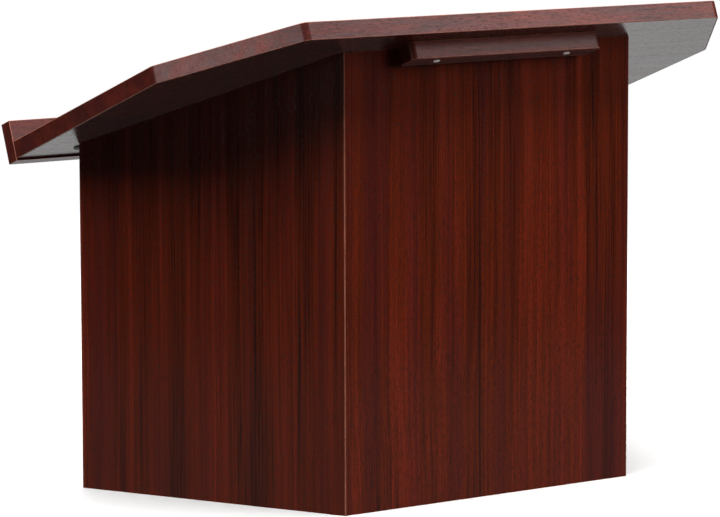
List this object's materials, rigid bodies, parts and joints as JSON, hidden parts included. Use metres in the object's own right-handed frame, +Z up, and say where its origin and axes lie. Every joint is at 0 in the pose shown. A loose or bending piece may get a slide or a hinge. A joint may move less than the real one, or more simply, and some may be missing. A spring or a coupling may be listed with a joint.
{
  "type": "table-top lectern",
  "caption": "Table-top lectern: sloping lift-off reading top with a paper stop, on a base of a front panel and two flared side panels that fold in on hinges.",
  "frame": {"origin": "middle of the whole lectern's box, at its bottom, on the surface that the lectern stands on", "axes": "+Z up, -Y towards the audience, +Y towards the speaker, +X to the right as the audience sees it"},
  "size_m": [0.7, 0.4046, 0.49],
  "materials": {
    "laminate": "satin dark red mahogany-grain laminate on board",
    "edge_band": "satin mahogany-colour edge band",
    "dowel_wood": "plain beech",
    "screw_steel": "bright zinc-plated steel",
    "hinge_brass": "brushed brass-plated steel",
    "button_rubber": "matt black rubber"
  },
  "bodies": {
    "base": {"front_panel": "laminate", "packing_strip": "laminate", "strip_screw_lower": "screw_steel", "strip_screw_middle": "screw_steel", "strip_screw_upper": "screw_steel", "left_lower_hinge_front_leaf": "hinge_brass", "left_lower_hinge_front_screw_1": "hinge_brass", "left_lower_hinge_front_screw_2": "hinge_brass", "left_upper_hinge_front_leaf": "hinge_brass", "left_upper_hinge_front_screw_1": "hinge_brass", "left_upper_hinge_front_screw_2": "hinge_brass", "right_lower_hinge_front_leaf": "hinge_brass", "right_lower_hinge_front_screw_1": "hinge_brass", "right_lower_hinge_front_screw_2": "hinge_brass", "right_upper_hinge_front_leaf": "hinge_brass", "right_upper_hinge_front_screw_1": "hinge_brass", "right_upper_hinge_front_screw_2": "hinge_brass", "left_lower_hinge_pin": "hinge_brass", "left_upper_hinge_pin": "hinge_brass", "right_lower_hinge_pin": "hinge_brass", "right_upper_hinge_pin": "hinge_brass"},
    "top": {"top_board": "laminate", "top_edge_band": "edge_band", "paper_stop": "laminate", "dowel_left": "dowel_wood", "dowel_middle": "dowel_wood", "dowel_right": "dowel_wood", "stop_block": "laminate", "block_screw_left": "screw_steel", "block_screw_right": "screw_steel", "left_stop_button": "button_rubber", "right_stop_button": "button_rubber"},
    "left_side": {"left_side_panel": "laminate", "left_side_edge_band": "edge_band", "left_lower_hinge_side_leaf": "hinge_brass", "left_lower_hinge_side_screw_1": "hinge_brass", "left_lower_hinge_side_screw_2": "hinge_brass", "left_upper_hinge_side_leaf": "hinge_brass", "left_upper_hinge_side_screw_1": "hinge_brass", "left_upper_hinge_side_screw_2": "hinge_brass"},
    "right_side": {"right_side_panel": "laminate", "right_side_edge_band": "edge_band", "right_lower_hinge_side_leaf": "hinge_brass", "right_lower_hinge_side_screw_1": "hinge_brass", "right_lower_hinge_side_screw_2": "hinge_brass", "right_upper_hinge_side_leaf": "hinge_brass", "right_upper_hinge_side_screw_1": "hinge_brass", "right_upper_hinge_side_screw_2": "hinge_brass"}
  },
  "joints": [
    {"name": "top_lift", "type": "slide", "parent": "base", "child": "top", "axis": [0, 0, 1], "range_m": [0, 0.25]},
    {"name": "left_fold", "type": "hinge", "parent": "base", "child": "left_side", "pos_m": [-0.16549, -0.13158, 0], "axis": [0, 0, -1], "range_deg": [0, 113.2]},
    {"name": "right_fold", "type": "hinge", "parent": "base", "child": "right_side", "pos_m": [0.17492, -0.10958, 0], "axis": [0, 0, 1], "range_deg": [0, 113.2]}
  ],
  "couplings": [
    {"joint": "left_fold", "follows": "top_lift", "rad_per_m": 7.9022},
    {"joint": "right_fold", "follows": "top_lift", "rad_per_m": 4.1888}
  ]
}
